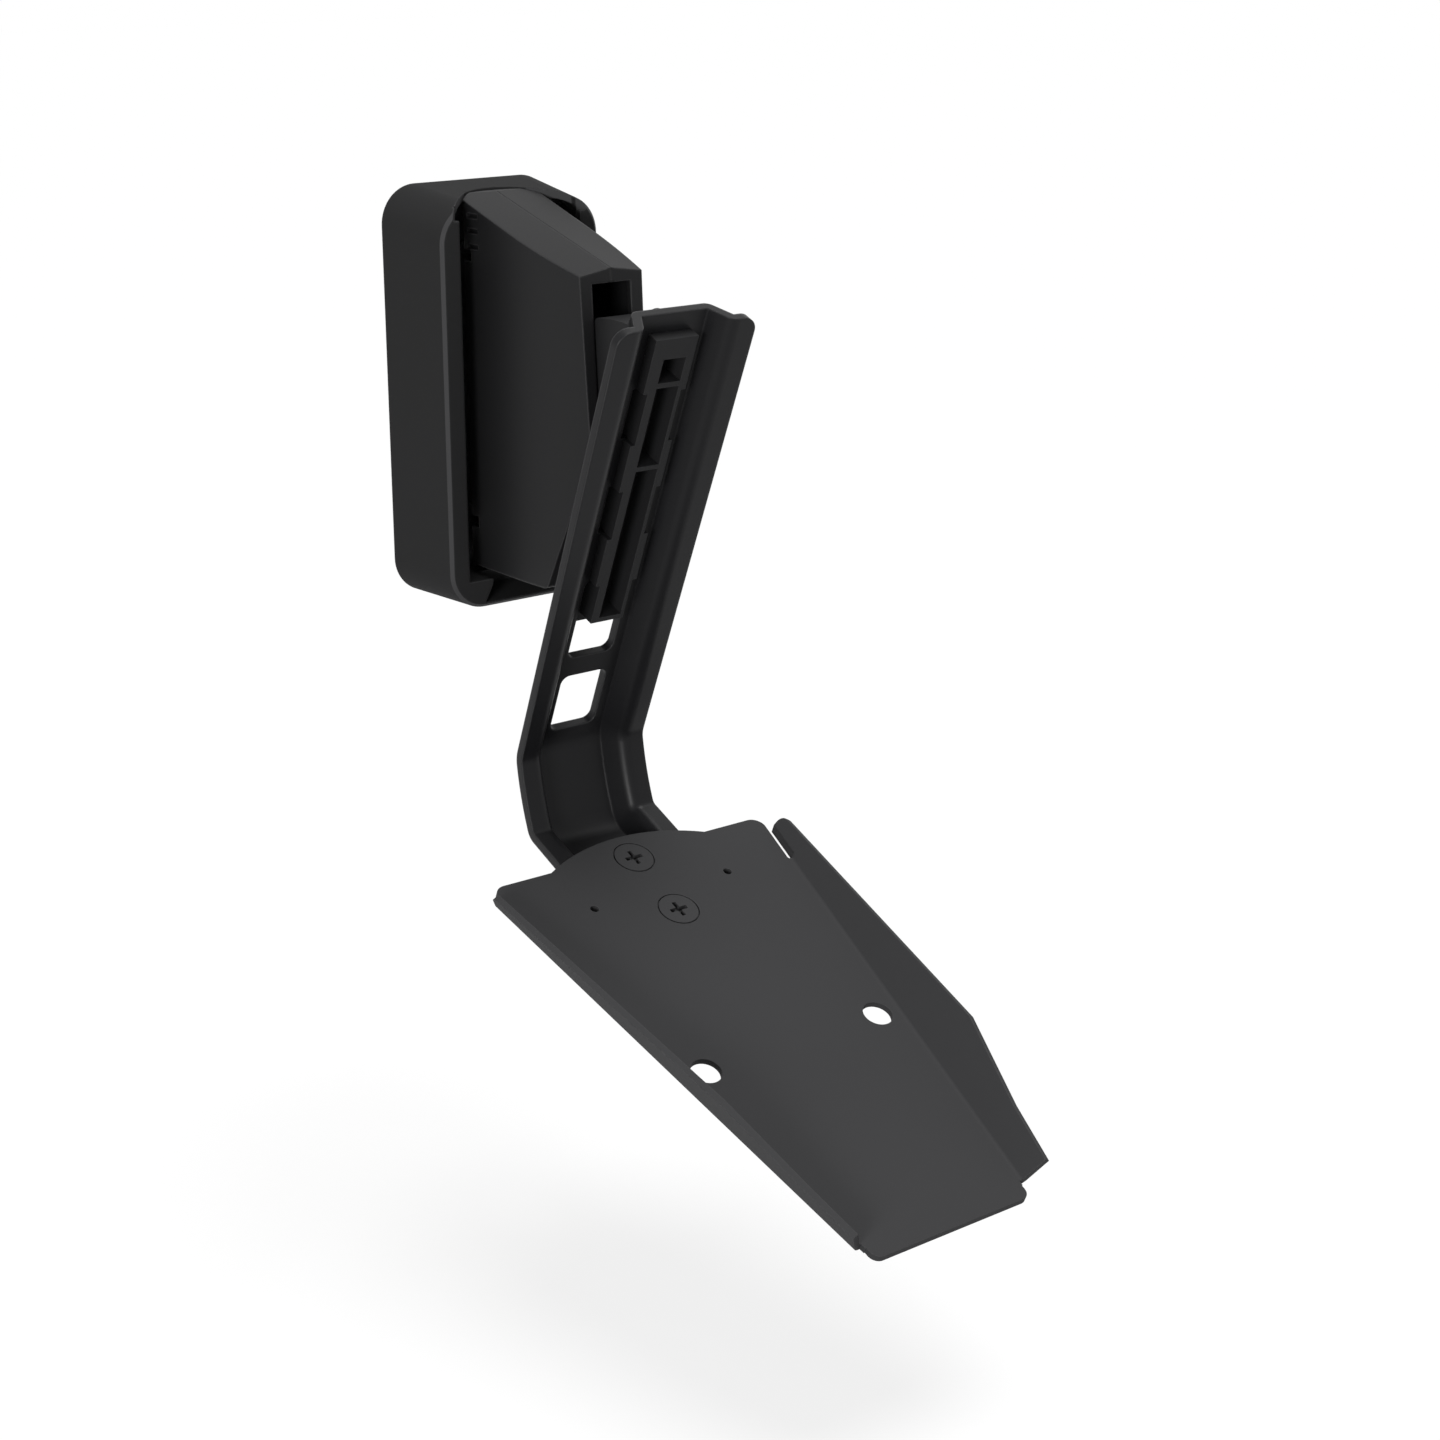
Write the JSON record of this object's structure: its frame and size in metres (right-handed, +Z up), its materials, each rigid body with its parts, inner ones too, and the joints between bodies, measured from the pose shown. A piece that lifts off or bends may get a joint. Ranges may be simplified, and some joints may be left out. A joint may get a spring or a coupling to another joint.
{
  "type": "speaker wall bracket",
  "caption": "Wall bracket for a small speaker: covered wall plate, swivelling head, tilting arm and a folded plate that the speaker is screwed on.",
  "frame": {"origin": "centre of the four wall screw holes, on the wall plane at the plate's rear face", "axes": "+Z up, +Y into the wall, the bracket stands out along -Y"},
  "size_m": [0.107, 0.2223, 0.2531],
  "materials": {
    "cover_plastic": "fine moulded charcoal plastic",
    "head_plastic": "fine moulded charcoal plastic",
    "carrier_plastic": "charcoal plastic",
    "arm_paint": "charcoal powder coat",
    "tray_paint": "charcoal powder coat",
    "screw_paint": "charcoal coated steel",
    "plate_steel": "black passivated steel",
    "bright_steel": "zinc plated",
    "black_steel": "black oxide",
    "nylon": "natural nylon"
  },
  "bodies": {
    "wall_unit": {"wall_cover": "cover_plastic", "wall_plate": "plate_steel", "cover_screw": "black_steel", "swivel_pin": "bright_steel", "swivel_nut": "bright_steel", "swivel_nut_washer": "bright_steel"},
    "swivel_head": {"thrust_washers": "nylon", "upper_pivot_bush": "nylon", "lower_pivot_bush": "nylon", "swivel_frame": "plate_steel", "housing_left": "head_plastic", "housing_right": "head_plastic", "housing_screws": "black_steel", "tilt_axle": "bright_steel", "axle_clip": "bright_steel", "tilt_washers": "nylon"},
    "tilt_arm": {"tilt_sleeve": "bright_steel", "tilt_carrier": "carrier_plastic", "arm_lock_screw": "black_steel", "arm": "arm_paint", "speaker_plate": "tray_paint", "plate_screws": "screw_paint"}
  },
  "joints": [
    {"name": "swivel", "type": "hinge", "parent": "wall_unit", "child": "swivel_head", "pos_m": [0, -0.03, 0], "axis": [0, 0, 1], "range_deg": [-35, 35]},
    {"name": "tilt", "type": "hinge", "parent": "swivel_head", "child": "tilt_arm", "pos_m": [0, -0.062, -0.0023], "axis": [-1, 0, 0], "range_deg": [0, 26]}
  ]
}
